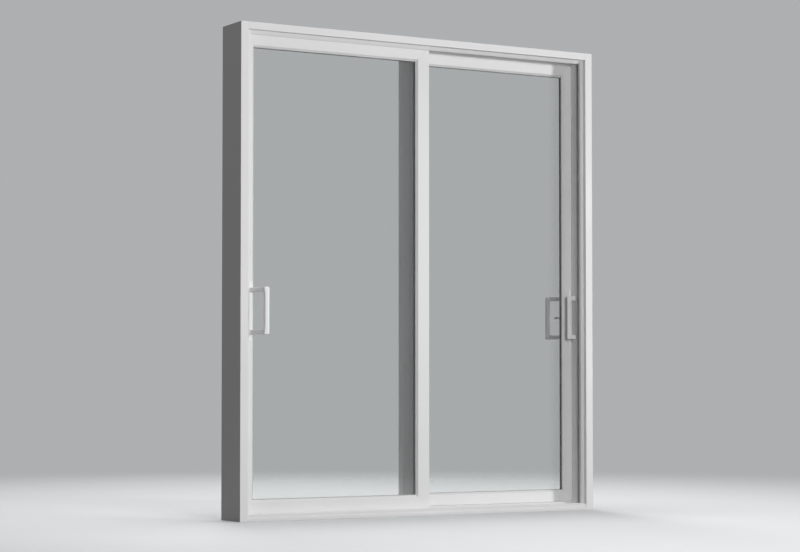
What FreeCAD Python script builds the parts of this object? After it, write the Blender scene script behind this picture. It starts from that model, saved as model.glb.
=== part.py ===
import FreeCAD, Part
import os
import re

# Two-leaf sliding patio door standing in its frame.
# Origin at the bottom centre of the frame, +X to the right seen from outside,
# +Y from outside to inside, +Z up. Millimetres.

SIZES = [
    ("frame_width", 1800, "overall width of the frame"),
    ("frame_height", 2100, "overall height of the frame"),
    ("frame_depth", 180, "front to back of the frame"),
    ("jamb_face", 37, "front flange of a jamb, across the opening"),
    ("jamb_leg", 52, "inner legs of a jamb"),
    ("jamb_divider", 34, "wall between a jamb's channels"),
    ("jamb_web", 8, "bottom of a jamb's channels"),
    ("head_face", 31, "front flange of the head"),
    ("head_leg", 47, "inner legs of the head"),
    ("head_leg_tip", 1.5, "lower edge of the head's sloping front leg"),
    ("head_divider", 42, "wall between the head's channels"),
    ("head_web", 8, "top of the head's channels"),
    ("sill_front", 28, "front lip of the sill"),
    ("sill_nose_height", 14, "foot of the front lip that stands forward"),
    ("sill_nose_step", 3, "how far the foot stands forward"),
    ("sill_leg", 30, "wall in front of the sill's first channel"),
    ("sill_divider", 35, "wall between the sill's channels"),
    ("sill_rear", 42, "raised inner edge of the sill"),
    ("sill_floor", 12, "floor of the sill's channels"),
    ("flange_thick", 20.5, "front flange, front to back"),
    ("leg_thick", 13.5, "leg in front of the first channel, front to back"),
    ("rear_leg_thick", 6, "leg behind the second channel, front to back"),
    ("divider_thick", 39, "wall between the two channels"),
    ("leaf_side_clear", 5, "from a leaf's face to its channel wall"),
    ("leaf_end_gap", 8, "from a closed leaf's edge to the jamb web"),
    ("leaf_lift_gap", 26, "above a leaf, for lifting it in"),
    ("leaf_track_gap", 6, "from the track's top to a leaf's underside"),
    ("leaf_lap_length", 90, "lap of the two meeting stiles"),
    ("stile_width", 64, "outer stile, seen from outside"),
    ("meeting_width", 64, "meeting stile, seen from outside"),
    ("top_rail_width", 64, "top rail, seen from outside"),
    ("bottom_rail_width", 64, "bottom rail, seen from outside"),
    ("lip_thick", 9, "outside lip that the glass bears on"),
    ("lip_cover", 18, "how far the lip covers the glazing rebate"),
    ("lip_chamfer", 7.5, "sloped edge of the lip beside the glass"),
    ("pane_thick", 4, "one sheet of glass"),
    ("pane_cavity", 12, "space between the two sheets"),
    ("pane_edge_gap", 3, "from a pane's edge to the rebate wall"),
    ("spacer_width", 12, "spacer bar round the cavity"),
    ("bead_thick", 5, "inside glazing bead"),
    ("track_height", 6, "rail above the channel floor"),
    ("track_thick", 6, "rail, front to back"),
    ("track_end_gap", 1, "from the rail's end to the jamb web"),
    ("roller_radius", 14, "roller in the bottom rail"),
    ("roller_width", 10, "roller, front to back"),
    ("roller_side_clear", 2, "from a roller's face to its pocket"),
    ("roller_round_clear", 3, "from a roller's rim to its pocket"),
    ("roller_seat_gap", 0.3, "from a roller to its track"),
    ("roller_end_length", 180, "from a leaf's edge to its roller"),
    ("axle_radius", 4, "roller axle"),
    ("interlock_thick", 4, "fin of the interlock"),
    ("interlock_gap", 8, "between the two fins, side by side"),
    ("interlock_lap", 4, "how far a fin passes the middle plane"),
    ("interlock_base_thick", 3, "leg of the interlock on the stile"),
    ("interlock_base_width", 24, "leg of the interlock along the stile's face"),
    ("interlock_end_gap", 6, "from a fin's end to the head and sill"),
    ("pull_centre", 882, "middle of the pulls above the floor"),
    ("pull_leg_gap", 5, "from a pull's plate to the jamb leg or divider beside it"),
    ("pull_pass_clear", 6, "from a pull to the other leaf passing it"),
    ("outside_reach", 84, "from the front leaf's face to its outside pull's front"),
    ("inside_reach", 69, "from the rear leaf's inner face to its inside pull's front"),
    ("plate_width", 14, "back plate of a pull"),
    ("plate_length", 256, "back plate of a pull, upright"),
    ("plate_thick", 6, "back plate of a pull"),
    ("plate_round", 5, "corner of the back plate"),
    ("grip_width", 24, "upright bar of a pull"),
    ("grip_depth", 16, "upright bar of a pull, front to back"),
    ("grip_length", 202, "upright bar of a pull, overall"),
    ("grip_round", 7, "rounding of the upright bar"),
    ("grip_offset", 39, "from a tall pull's plate to its bar, middle to middle"),
    ("low_grip_offset", 23, "from a low pull's plate to its bar, middle to middle"),
    ("arm_height", 22, "arm between the post and the bar"),
    ("arm_inset", 1, "from the bar's faces to the arm's"),
    ("arm_round", 4, "rounding of an arm"),
    ("post_inset", 1, "from the arm's faces to the post's, and from the plate's sides"),
    ("post_round", 3, "rounding of a post"),
    ("post_lean", 33, "how far a tall pull's posts lean to the glass"),
    ("turn_seat_gap", 0.3, "behind the turn's rose"),
    ("turn_radius", 6.5, "rose of the thumb turn"),
    ("turn_rose_thick", 3, "rose of the thumb turn"),
    ("lever_length", 32, "from the turn's pivot to its lever's end"),
    ("lever_tail_length", 6, "lever on the other side of the pivot"),
    ("lever_width", 10, "lever of the thumb turn, across"),
    ("lever_thick", 8, "lever of the thumb turn, outwards from the rose"),
    ("lever_round", 3, "rounding of the lever's ends"),
    ("lock_plate_thick", 2, "lock plate let into a stile's edge"),
    ("lock_plate_width", 18, "lock plate, front to back"),
    ("lock_plate_length", 200, "lock plate, upright"),
    ("keeper_thick", 2, "keeper on the jamb web"),
    ("keeper_width", 20, "keeper, front to back"),
    ("keeper_length", 160, "keeper, upright"),
    ("stop_length", 72, "travel stop in the head, along the channel"),
    ("stop_width", 30, "travel stop, front to back"),
    ("stop_drop", 34, "travel stop below the head's web"),
    ("screw_radius", 4, "fixing hole through a jamb"),
    ("screw_spacing", 1500, "between a jamb's two fixing holes"),
]

doc = FreeCAD.newDocument("patio_door")
sheet = doc.addObject("Spreadsheet::Sheet", "sizes")
for row, (alias, value, note) in enumerate(SIZES, start=1):
    sheet.set("A%d" % row, note)
    sheet.set("B%d" % row, str(value))
    sheet.setAlias("B%d" % row, alias)
doc.recompute()

# Derived distances, as expressions of the sheet's names.
HALF_WIDTH = "(frame_width / 2)"
LEAF_THICK = "(lip_thick + 2 * pane_thick + pane_cavity + bead_thick)"
CHANNEL = "(%s + 2 * leaf_side_clear)" % LEAF_THICK
FRONT_FACE = "(-frame_depth / 2)"
REAR_FACE = "(frame_depth / 2)"
FLANGE_BACK = "(%s + flange_thick)" % FRONT_FACE
FRONT_WALL = "(%s + leg_thick)" % FLANGE_BACK
DIVIDER_FRONT = "(%s + %s)" % (FRONT_WALL, CHANNEL)
DIVIDER_BACK = "(%s + divider_thick)" % DIVIDER_FRONT
REAR_WALL = "(%s + %s)" % (DIVIDER_BACK, CHANNEL)
REAR_LEG_BACK = "(%s + rear_leg_thick)" % REAR_WALL
MID_LINES = {
    "front": "((%s + %s) / 2)" % (FRONT_WALL, DIVIDER_FRONT),
    "rear": "((%s + %s) / 2)" % (DIVIDER_BACK, REAR_WALL),
}
LEAF_OUT = "(frame_width / 2 - jamb_web - leaf_end_gap)"
LEAF_WIDTH = "(%s + leaf_lap_length / 2)" % LEAF_OUT
TRACK_TOP = "(sill_floor + track_height)"
LEAF_BOTTOM = "(%s + leaf_track_gap)" % TRACK_TOP
LEAF_TOP = "(frame_height - head_web - leaf_lift_gap)"
LEAF_GAP = "(divider_thick + 2 * leaf_side_clear)"
PASSED_REACH = "(%s - pull_pass_clear)" % LEAF_GAP
# From a leaf's outer edge to a pull's plate: beside the jamb's leg for a tall pull, its divider for a low one.
TALL_EDGE = "(jamb_leg + pull_leg_gap - jamb_web - leaf_end_gap)"
LOW_EDGE = "(jamb_divider + pull_leg_gap - jamb_web - leaf_end_gap)"
ROLLER_MID = "(%s + roller_seat_gap + roller_radius)" % TRACK_TOP

# A wedge tapers along its own Y. These turns lay that taper along the part's Z or X, its span along X, Z or Y.
FLAT = FreeCAD.Rotation()
TAPER_UP = FreeCAD.Rotation(FreeCAD.Vector(1, 0, 0), 90)
TAPER_ACROSS = FreeCAD.Rotation(FreeCAD.Vector(1, 1, 1), 240)
TAPER_BEHIND = FreeCAD.Rotation(FreeCAD.Vector(1, 1, 1), 120)
ALONG_X = FreeCAD.Rotation(FreeCAD.Vector(0, 1, 0), 90)
ALONG_Y = FreeCAD.Rotation(FreeCAD.Vector(1, 0, 0), -90)

nodes = []


def bind(item, field, text):
    """Tie one property to an expression written with the sheet's names."""
    item.setExpression(field, re.sub(r"[a-z]\w*", r"sizes.\g<0>", text))


def block(name, x_span, y_span, z_span):
    """Box between three pairs of expressions."""
    box = doc.addObject("Part::Box", name)
    fields = (("Length", "x", x_span), ("Width", "y", y_span), ("Height", "z", z_span))
    for size, axis, (low, high) in fields:
        bind(box, size, "(%s) - (%s)" % (high, low))
        bind(box, "Placement.Base." + axis, low)
    return box


def wedge(name, turn, taper, low_span, high_span, depth):
    """Prism whose span changes from one end of its taper to the other."""
    item = doc.addObject("Part::Wedge", name)
    item.Placement = FreeCAD.Placement(FreeCAD.Vector(0, 0, 0), turn)
    fields = {
        "Ymin": taper[0],
        "Ymax": taper[1],
        "Xmin": low_span[0],
        "Xmax": low_span[1],
        "X2min": high_span[0],
        "X2max": high_span[1],
        "Zmin": depth[0],
        "Zmax": depth[1],
        "Z2min": depth[0],
        "Z2max": depth[1],
    }
    for field, text in fields.items():
        bind(item, field, text)
    return item


def rod(name, turn, radius, length, start):
    """Cylinder from a start point along the turned axis."""
    item = doc.addObject("Part::Cylinder", name)
    item.Placement = FreeCAD.Placement(FreeCAD.Vector(0, 0, 0), turn)
    bind(item, "Radius", radius)
    bind(item, "Height", length)
    for axis, text in zip("xyz", start):
        bind(item, "Placement.Base." + axis, text)
    return item


def joined(name, items):
    """One shape from several that meet or overlap."""
    result = doc.addObject("Part::MultiFuse", name)
    result.Shapes = items
    result.Refine = True
    return result


def carved(name, base, tools):
    """A shape with others taken out of it."""
    result = doc.addObject("Part::Cut", name)
    result.Base = base
    result.Tool = tools[0] if len(tools) == 1 else joined(name + "_cuts", tools)
    result.Refine = True
    return result


def dressed(kind, name, base, radius, wanted):
    """Fillet or chamfer on those edges of a shape that a test picks out."""
    doc.recompute()
    result = doc.addObject("Part::" + kind, name)
    result.Base = base
    picked = [i for i, edge in enumerate(base.Shape.Edges, start=1) if wanted(edge)]
    result.Edges = [(i, radius, radius) for i in picked]
    return result


def node(item, label):
    """Keep a finished piece under its own name."""
    item.Label = label
    nodes.append(item)
    return item


def opposite(text):
    return "-(%s)" % text


def straight(edge, axis):
    """True for an edge that runs along one axis, 0 to 2."""
    box = edge.BoundBox
    spans = (box.XLength, box.YLength, box.ZLength)
    return all(span < 1e-6 for i, span in enumerate(spans) if i != axis)


# Frame members: slabs from front to back, each as deep as its flange, leg, channel or divider.
LAYERS = [
    ("front_flange", FRONT_FACE, FLANGE_BACK),
    ("front_leg", FLANGE_BACK, FRONT_WALL),
    ("front_channel", FRONT_WALL, DIVIDER_FRONT),
    ("divider", DIVIDER_FRONT, DIVIDER_BACK),
    ("rear_channel", DIVIDER_BACK, REAR_WALL),
    ("rear_leg", REAR_WALL, REAR_LEG_BACK),
    ("rear_flange", REAR_LEG_BACK, REAR_FACE),
]
JAMB_DEPTHS = ["jamb_face", "jamb_leg", "jamb_web", "jamb_divider", "jamb_web", "jamb_leg", "jamb_face"]
HEAD_DEPTHS = ["head_face", "head_leg", "head_web", "head_divider", "head_web", "head_leg", "head_face"]
SILL_DEPTHS = [
    "sill_front", "sill_leg", "sill_floor", "sill_divider", "sill_floor", "sill_rear", "sill_rear",
]


def jamb(label, sign, screw_line):
    slabs = []
    for (layer, y_low, y_high), deep in zip(LAYERS, JAMB_DEPTHS):
        inner = "%s - %s" % (HALF_WIDTH, deep)
        x_span = (inner, HALF_WIDTH) if sign > 0 else (opposite(HALF_WIDTH), opposite(inner))
        slabs.append(block("%s_%s" % (label, layer), x_span, (y_low, y_high), ("0", "frame_height")))
    holes = []
    hole_x = "%s - jamb_web * 2" % HALF_WIDTH if sign > 0 else "-%s - jamb_web" % HALF_WIDTH
    for end, step in (("low", "-"), ("high", "+")):
        hole_z = "frame_height / 2 %s screw_spacing / 2" % step
        start = (hole_x, screw_line, hole_z)
        holes.append(rod("%s_%s_screw" % (label, end), ALONG_X, "screw_radius", "jamb_web * 3", start))
    return node(carved(label, joined(label + "_bar", slabs), holes), label)


def cross_bar(label, depths, z_span):
    """Head or sill: slabs that end at the jambs' matching slabs."""
    slabs = []
    for (layer, y_low, y_high), deep, jamb_deep in zip(LAYERS, depths, JAMB_DEPTHS):
        reach = "(%s - %s)" % (HALF_WIDTH, jamb_deep)
        slabs.append(block("%s_%s" % (label, layer), (opposite(reach), reach), (y_low, y_high), z_span(deep)))
    return joined(label + "_bar", slabs)


jamb("left_jamb", -1, MID_LINES["rear"])
jamb("right_jamb", 1, MID_LINES["front"])

# The head's front leg slopes back below its flange.
head_bar = cross_bar("head", HEAD_DEPTHS, lambda deep: ("frame_height - " + deep, "frame_height"))
slope_z = ("frame_height - head_leg", "frame_height - head_face")
slope_low = (FLANGE_BACK, FRONT_WALL + " - head_leg_tip")
slope_high = (FLANGE_BACK, FLANGE_BACK)
slope_reach = "(%s - jamb_leg)" % HALF_WIDTH
slope_x = (opposite(slope_reach), slope_reach)
slope = wedge("head_slope", TAPER_BEHIND, slope_z, slope_low, slope_high, slope_x)
node(carved("head", head_bar, [slope]), "head")

# The sill's front lip steps back above its foot.
sill_bar = cross_bar("sill", SILL_DEPTHS, lambda deep: ("0", deep))
step_reach = "(%s - jamb_face)" % HALF_WIDTH
step_x = (opposite(step_reach), step_reach)
step_y = (FRONT_FACE, FRONT_FACE + " + sill_nose_step")
lip_step = block("sill_step", step_x, step_y, ("sill_nose_height", "sill_front"))
node(carved("sill", sill_bar, [lip_step]), "sill")

# Leaves: the front one closes to the left, the rear one to the right.


def across(leaf, near, far):
    """Span along X between two distances from a leaf's outer edge."""
    if leaf == "front":
        return "%s - %s" % (near, LEAF_OUT), "%s - %s" % (far, LEAF_OUT)
    return "%s - (%s)" % (LEAF_OUT, far), "%s - (%s)" % (LEAF_OUT, near)


def upright_wedge(name, leaf, near, far, long_span, short_span, long_at_near, y_span):
    """Mitred stile piece, long on its outer side."""
    taper = across(leaf, near, far)
    low_is_near = leaf == "front"
    low, high = (long_span, short_span) if low_is_near == long_at_near else (short_span, long_span)
    return wedge(name, TAPER_ACROSS, taper, low, high, y_span)


def level_wedge(name, taper, low_span, high_span, y_span):
    """Mitred rail piece."""
    depth = (opposite(y_span[1]), opposite(y_span[0]))
    return wedge(name, TAPER_UP, taper, low_span, high_span, depth)


def leaf_stack(leaf):
    """Planes of a leaf from outside to inside."""
    face = "(%s - %s / 2)" % (MID_LINES[leaf], LEAF_THICK)
    planes = [face]
    for layer in ("lip_thick", "pane_thick", "pane_cavity", "pane_thick", "bead_thick"):
        planes.append("(%s + %s)" % (planes[-1], layer))
    return planes


def lip_edge(base, axis, side):
    """Test for the lip's front edge beside the glass."""
    doc.recompute()
    box = base.Shape.BoundBox
    limit = {"x": (box.XMin, box.XMax), "z": (box.ZMin, box.ZMax)}[axis][side > 0]

    def wanted(edge):
        points = [vertex.Point for vertex in edge.Vertexes]
        on_front = all(abs(point.y - box.YMin) < 0.01 for point in points)
        return on_front and all(abs(getattr(point, axis) - limit) < 0.01 for point in points)

    return wanted


def stile(leaf, label, near, far, outer_is_near, cuts):
    planes = leaf_stack(leaf)
    pieces = []
    layers = (("lip", "0", (planes[0], planes[1])), ("back", "lip_cover", (planes[1], planes[5])))
    for part, short, y_span in layers:
        if outer_is_near:
            ends = (near, "%s - %s" % (far, short))
        else:
            ends = ("%s + %s" % (near, short), far)
        full = (LEAF_BOTTOM, LEAF_TOP)
        cut_back = (
            "%s + bottom_rail_width - %s" % (LEAF_BOTTOM, short),
            "%s - top_rail_width + %s" % (LEAF_TOP, short),
        )
        name = "%s_%s" % (label, part)
        pieces.append(upright_wedge(name, leaf, ends[0], ends[1], full, cut_back, outer_is_near, y_span))
    bar = joined(label + "_bar", pieces)
    glass_side = 1 if (leaf == "front") == outer_is_near else -1
    edge = lip_edge(bar, "x", glass_side)
    shaped = dressed("Chamfer", label + "_sloped", bar, sheet.lip_chamfer, edge)
    return node(carved(label, shaped, cuts) if cuts else shaped, label)


def rail(leaf, label, is_top, cuts):
    planes = leaf_stack(leaf)
    pieces = []
    width = "top_rail_width" if is_top else "bottom_rail_width"
    layers = (("lip", "0", (planes[0], planes[1])), ("back", "lip_cover", (planes[1], planes[5])))
    for part, short, y_span in layers:
        full = across(leaf, "0", LEAF_WIDTH)
        cut_back = across(leaf, "stile_width - " + short, "%s - meeting_width + %s" % (LEAF_WIDTH, short))
        name = "%s_%s" % (label, part)
        if is_top:
            taper = ("%s - %s + %s" % (LEAF_TOP, width, short), LEAF_TOP)
            pieces.append(level_wedge(name, taper, cut_back, full, y_span))
        else:
            taper = (LEAF_BOTTOM, "%s + %s - %s" % (LEAF_BOTTOM, width, short))
            pieces.append(level_wedge(name, taper, full, cut_back, y_span))
    bar = joined(label + "_bar", pieces)
    edge = lip_edge(bar, "z", -1 if is_top else 1)
    shaped = dressed("Chamfer", label + "_sloped", bar, sheet.lip_chamfer, edge)
    return node(carved(label, shaped, cuts) if cuts else shaped, label)


def ring(leaf, label, outer, inner, y_span):
    """Flat frame between two distances in from the leaf's sightline rectangle."""
    spans = []
    for inset in (outer, inner):
        x_span = across(leaf, "stile_width - (%s)" % inset, "%s - meeting_width + (%s)" % (LEAF_WIDTH, inset))
        z_span = (
            "%s + bottom_rail_width - (%s)" % (LEAF_BOTTOM, inset),
            "%s - top_rail_width + (%s)" % (LEAF_TOP, inset),
        )
        spans.append((x_span, z_span))
    solid = block(label + "_outer", spans[0][0], y_span, spans[0][1])
    gap = block(label + "_inner", spans[1][0], y_span, spans[1][1])
    return node(carved(label, solid, [gap]), label)


def pane(leaf, label, y_span):
    edge = "(lip_cover - pane_edge_gap)"
    x_span = across(leaf, "stile_width - " + edge, "%s - meeting_width + %s" % (LEAF_WIDTH, edge))
    z_span = (
        "%s + bottom_rail_width - %s" % (LEAF_BOTTOM, edge),
        "%s - top_rail_width + %s" % (LEAF_TOP, edge),
    )
    return node(block(label, x_span, y_span, z_span), label)


def outward_edge(edge):
    """True for an edge that runs from a pull's plate to its bar."""
    return not straight(edge, 0) and not straight(edge, 2)


def pull(leaf, label, face, outward, reach, edge, offset, lean):
    """Back plate, two posts that stand or lean out from it and a bar held by their arms."""

    def depth(near, far):
        low, high = "%s + (%s)" % (face, near), "%s + (%s)" % (face, far)
        if outward < 0:
            low, high = "%s - (%s)" % (face, far), "%s - (%s)" % (face, near)
        return low, high

    plate_x = across(leaf, edge, edge + " + plate_width")
    plate_z = ("pull_centre - plate_length / 2", "pull_centre + plate_length / 2")
    plate = block(label + "_blank", plate_x, depth("0", "plate_thick"), plate_z)
    plate_round = min(sheet.plate_round, 0.45 * sheet.plate_width)
    plate = dressed("Fillet", label + "_plate", plate, plate_round, lambda edge: straight(edge, 1))

    grip_mid = "%s + plate_width / 2 + %s" % (edge, offset)
    grip_x = across(leaf, grip_mid + " - grip_width / 2", grip_mid + " + grip_width / 2")
    grip_z = ("pull_centre - grip_length / 2", "pull_centre + grip_length / 2")
    bar = block(label + "_bar", grip_x, depth(reach + " - grip_depth", reach), grip_z)
    grip_round = min(sheet.grip_round, 0.45 * sheet.grip_width, 0.45 * sheet.grip_depth)
    bar = dressed("Fillet", label + "_grip", bar, grip_round, lambda edge: True)

    pieces = [plate, bar]
    arm_x = across(leaf, "%s + %s" % (edge, lean), grip_mid)
    arm_y = depth(reach + " - grip_depth + arm_inset", reach + " - arm_inset")
    arm_round = min(sheet.arm_round, 0.45 * sheet.arm_height, 0.45 * (sheet.grip_depth - 2 * sheet.arm_inset))
    post_sides_x = (edge + " + post_inset", edge + " + plate_width - post_inset")
    foot_x = across(leaf, *post_sides_x)
    top_x = across(leaf, *["%s + %s" % (text, lean) for text in post_sides_x])
    post_spans = (foot_x, top_x) if outward > 0 else (top_x, foot_x)
    post_y = depth("plate_thick / 2", reach + " - grip_depth / 2")
    post_sides = (sheet.arm_height - 2 * sheet.post_inset, sheet.plate_width - 2 * sheet.post_inset)
    post_round = min(sheet.post_round, 0.45 * min(post_sides))
    for end, side in (("lower", "-"), ("upper", "+")):
        outer = "(pull_centre %s (grip_length / 2 - arm_inset))" % side
        inner = "(pull_centre %s (grip_length / 2 - arm_inset - arm_height))" % side
        low, high = (outer, inner) if side == "-" else (inner, outer)
        arm = block("%s_%s_arm_blank" % (label, end), arm_x, arm_y, (low, high))
        arm = dressed("Fillet", "%s_%s_arm" % (label, end), arm, arm_round, lambda edge: not straight(edge, 2))
        post_z = (low + " + post_inset", high + " - post_inset")
        post = wedge("%s_%s_post_blank" % (label, end), FLAT, post_y, *post_spans, post_z)
        post = dressed("Fillet", "%s_%s_post" % (label, end), post, post_round, outward_edge)
        pieces += [arm, post]
    return node(joined(label, pieces), label)


def thumb_turn(leaf, label, face, edge):
    """Rose and lever on the inside pull's plate, the lever pointing to the glass."""
    plate_mid = "(%s + plate_width / 2)" % edge
    mid = across(leaf, plate_mid, plate_mid)[0]
    base = "(%s + plate_thick + turn_seat_gap)" % face
    rose = rod(label + "_rose", ALONG_Y, "turn_radius", "turn_rose_thick", (mid, base, "pull_centre"))
    lever_x = across(leaf, plate_mid + " - lever_tail_length", plate_mid + " + lever_length")
    lever_y = (base, base + " + turn_rose_thick + lever_thick")
    lever_z = ("pull_centre - lever_width / 2", "pull_centre + lever_width / 2")
    lever = block(label + "_blank", lever_x, lever_y, lever_z)
    lever_round = min(sheet.lever_round, 0.45 * sheet.lever_width)
    lever = dressed("Fillet", label + "_lever", lever, lever_round, lambda edge: straight(edge, 1))
    return node(joined(label, [rose, lever]), label)


def roller_places():
    return (("outer", "roller_end_length"), ("meeting", "(%s - roller_end_length)" % LEAF_WIDTH))


for leaf in ("front", "rear"):
    planes = leaf_stack(leaf)
    mid_line = MID_LINES[leaf]

    lock_y = (mid_line + " - lock_plate_width / 2", mid_line + " + lock_plate_width / 2")
    lock_z = ("pull_centre - lock_plate_length / 2", "pull_centre + lock_plate_length / 2")
    lock_x = across(leaf, "0", "lock_plate_thick")
    recess = block(leaf + "_lock_recess", lock_x, lock_y, lock_z)
    stile(leaf, leaf + "_outer_stile", "0", "stile_width", True, [recess])
    stile(leaf, leaf + "_meeting_stile", LEAF_WIDTH + " - meeting_width", LEAF_WIDTH, False, [])
    rail(leaf, leaf + "_top_rail", True, [])

    half_pocket = "(roller_width / 2 + roller_side_clear)"
    pocket_y = (mid_line + " - " + half_pocket, mid_line + " + " + half_pocket)
    reach = "(roller_radius + roller_round_clear)"
    pockets = []
    wheels = []
    for place, along in roller_places():
        pocket_x = across(leaf, along + " - " + reach, along + " + " + reach)
        pocket_z = (LEAF_BOTTOM, ROLLER_MID + " + " + reach)
        pockets.append(block("%s_%s_pocket" % (leaf, place), pocket_x, pocket_y, pocket_z))
        at_x = across(leaf, along, along)[0]
        wheel_y = mid_line + " - roller_width / 2"
        name = "%s_%s_roller" % (leaf, place)
        wheels.append(rod(name, ALONG_Y, "roller_radius", "roller_width", (at_x, wheel_y, ROLLER_MID)))
        axle_length = "roller_width + 2 * roller_side_clear"
        name = "%s_%s_axle" % (leaf, place)
        wheels.append(rod(name, ALONG_Y, "axle_radius", axle_length, (at_x, pocket_y[0], ROLLER_MID)))
    rail(leaf, leaf + "_bottom_rail", False, pockets)
    node(joined(leaf + "_rollers", wheels), leaf + "_rollers")

    pane(leaf, leaf + "_outer_pane", (planes[1], planes[2]))
    pane(leaf, leaf + "_inner_pane", (planes[3], planes[4]))
    pane_edge = "lip_cover - pane_edge_gap"
    ring(leaf, leaf + "_spacer", pane_edge, pane_edge + " - spacer_width", (planes[2], planes[3]))
    ring(leaf, leaf + "_glazing_bead", "lip_cover", "0", (planes[4], planes[5]))

    # The two interlock fins stand side by side behind the lapped stiles.
    fin_far = "(%s - leaf_lap_length / 2 + interlock_gap / 2 + interlock_thick)" % LEAF_WIDTH
    fin_near = "(%s - interlock_thick)" % fin_far
    fin_x = across(leaf, fin_near, fin_far)
    leg_x = across(leaf, fin_far + " - interlock_base_width", fin_far)
    fin_deep = "(%s / 2 + interlock_lap)" % LEAF_GAP
    fin_z = ("sill_divider + interlock_end_gap", "frame_height - head_leg - interlock_end_gap")
    if leaf == "front":
        fin_y = (planes[5], planes[5] + " + " + fin_deep)
        leg_y = (planes[5], planes[5] + " + interlock_base_thick")
    else:
        fin_y = (planes[0] + " - " + fin_deep, planes[0])
        leg_y = (planes[0] + " - interlock_base_thick", planes[0])
    fin = block(leaf + "_interlock_fin", fin_x, fin_y, fin_z)
    leg = block(leaf + "_interlock_leg", leg_x, leg_y, fin_z)
    node(joined(leaf + "_interlock", [fin, leg]), leaf + "_interlock")

    node(block(leaf + "_lock_plate", lock_x, lock_y, lock_z), leaf + "_lock_plate")
    # Low pulls stand between the leaves, tall ones on the door's two outer sides.
    low = (PASSED_REACH, LOW_EDGE, "low_grip_offset", "0")
    if leaf == "front":
        outside, inside = ("outside_reach", TALL_EDGE, "grip_offset", "post_lean"), low
    else:
        outside, inside = low, ("inside_reach", TALL_EDGE, "grip_offset", "post_lean")
    pull(leaf, leaf + "_outside_pull", planes[0], -1, *outside)
    pull(leaf, leaf + "_inside_pull", planes[5], 1, *inside)
    thumb_turn(leaf, leaf + "_thumb_turn", planes[5], inside[1])

    # What the leaf runs on, closes against and stops at.
    track_reach = "(%s - jamb_web - track_end_gap)" % HALF_WIDTH
    track_y = (mid_line + " - track_thick / 2", mid_line + " + track_thick / 2")
    track_x = (opposite(track_reach), track_reach)
    node(block(leaf + "_track", track_x, track_y, ("sill_floor", TRACK_TOP)), leaf + "_track")

    web = "(%s - jamb_web)" % HALF_WIDTH
    keeper_y = (mid_line + " - keeper_width / 2", mid_line + " + keeper_width / 2")
    keeper_z = ("pull_centre - keeper_length / 2", "pull_centre + keeper_length / 2")
    stop_y = (mid_line + " - stop_width / 2", mid_line + " + stop_width / 2")
    stop_z = ("frame_height - head_web - stop_drop", "frame_height - head_web")
    keeper_x = (opposite(web), opposite(web + " - keeper_thick"))
    stop_x = (web + " - stop_length", web)
    if leaf == "rear":
        keeper_x = (web + " - keeper_thick", web)
        stop_x = (opposite(web), opposite(web + " - stop_length"))
    node(block(leaf + "_keeper", keeper_x, keeper_y, keeper_z), leaf + "_keeper")
    node(block(leaf + "_stop", stop_x, stop_y, stop_z), leaf + "_stop")

doc.recompute()

faults = [item.Name for item in doc.Objects if {"Invalid", "Error"} & set(item.State)]
for item in nodes:
    if item.Shape.isNull() or not item.Shape.isValid() or not item.Shape.Solids:
        faults.append(item.Label)
if faults:
    raise RuntimeError("pieces that failed: " + ", ".join(faults))

os.makedirs("parts", exist_ok=True)
for item in nodes:
    item.Shape.exportStep(os.path.join("parts", item.Label + ".step"))
print("%d pieces written" % len(nodes))
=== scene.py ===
import math

import bmesh
import bpy
from bpy.props import FloatProperty, FloatVectorProperty, IntProperty, PointerProperty
from mathutils import Matrix, Vector


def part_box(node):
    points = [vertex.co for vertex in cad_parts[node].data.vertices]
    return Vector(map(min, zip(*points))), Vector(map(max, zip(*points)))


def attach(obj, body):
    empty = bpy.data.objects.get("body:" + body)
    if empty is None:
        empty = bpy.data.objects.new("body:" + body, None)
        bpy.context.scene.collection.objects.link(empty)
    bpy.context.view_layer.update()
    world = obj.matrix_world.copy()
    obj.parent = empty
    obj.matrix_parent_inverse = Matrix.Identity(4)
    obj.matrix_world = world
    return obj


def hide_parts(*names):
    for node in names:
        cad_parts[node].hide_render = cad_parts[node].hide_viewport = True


bl_info = {
    "name": "Sliding Patio Door",
    "version": (1, 0, 0),
    "blender": (4, 5, 0),
    "location": "View3D > Sidebar > Patio Door",
    "description": "Finishes a two-leaf sliding patio door: bars, glass, pulls, locks, seals and stage",
    "category": "Object",
}

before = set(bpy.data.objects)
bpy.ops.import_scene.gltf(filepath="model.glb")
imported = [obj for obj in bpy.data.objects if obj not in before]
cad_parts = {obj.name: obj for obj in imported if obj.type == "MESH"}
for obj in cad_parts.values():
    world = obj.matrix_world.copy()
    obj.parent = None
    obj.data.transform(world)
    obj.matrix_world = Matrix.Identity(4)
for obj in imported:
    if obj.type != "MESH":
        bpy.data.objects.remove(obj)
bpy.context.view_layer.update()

LEAVES = ("front", "rear")
MM = 0.001

# Camera and picture
IMAGE_WIDTH = 800
SENSOR_WIDTH = 36.0
CAMERA_REACH = 200.0

# Each lamp's name and whether gloss mirrors it, and the place that the lamps aim at
LAMPS = (("key", True), ("front", False), ("back", False), ("top", False))
DOOR_MIDDLE = Vector((0.0, 0.0, 1.0))

# Axes along which a bar is drawn or brushed, and the scale of a pattern that isn't stretched
LEVEL = 0
UPRIGHT = 2
EVEN = (1.0, 1.0, 1.0)

# Edges sharper than these are rounded
BAR_ANGLE = math.radians(30.0)
PULL_ANGLE = math.radians(35.0)
ROLLER_ANGLE = math.radians(40.0)

# Triangles flatter than this are joined, after points nearer than this are merged
FLAT_ANGLE = math.radians(1.0)
MERGE_DISTANCE = 0.00001

# Screw heads: sides, then shares of the radius and of the height
SCREW_SIDES = 20
SCREW_TAPER = 0.8
SOCKET_BORDER = 0.38
SOCKET_DEPTH = 0.7

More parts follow.
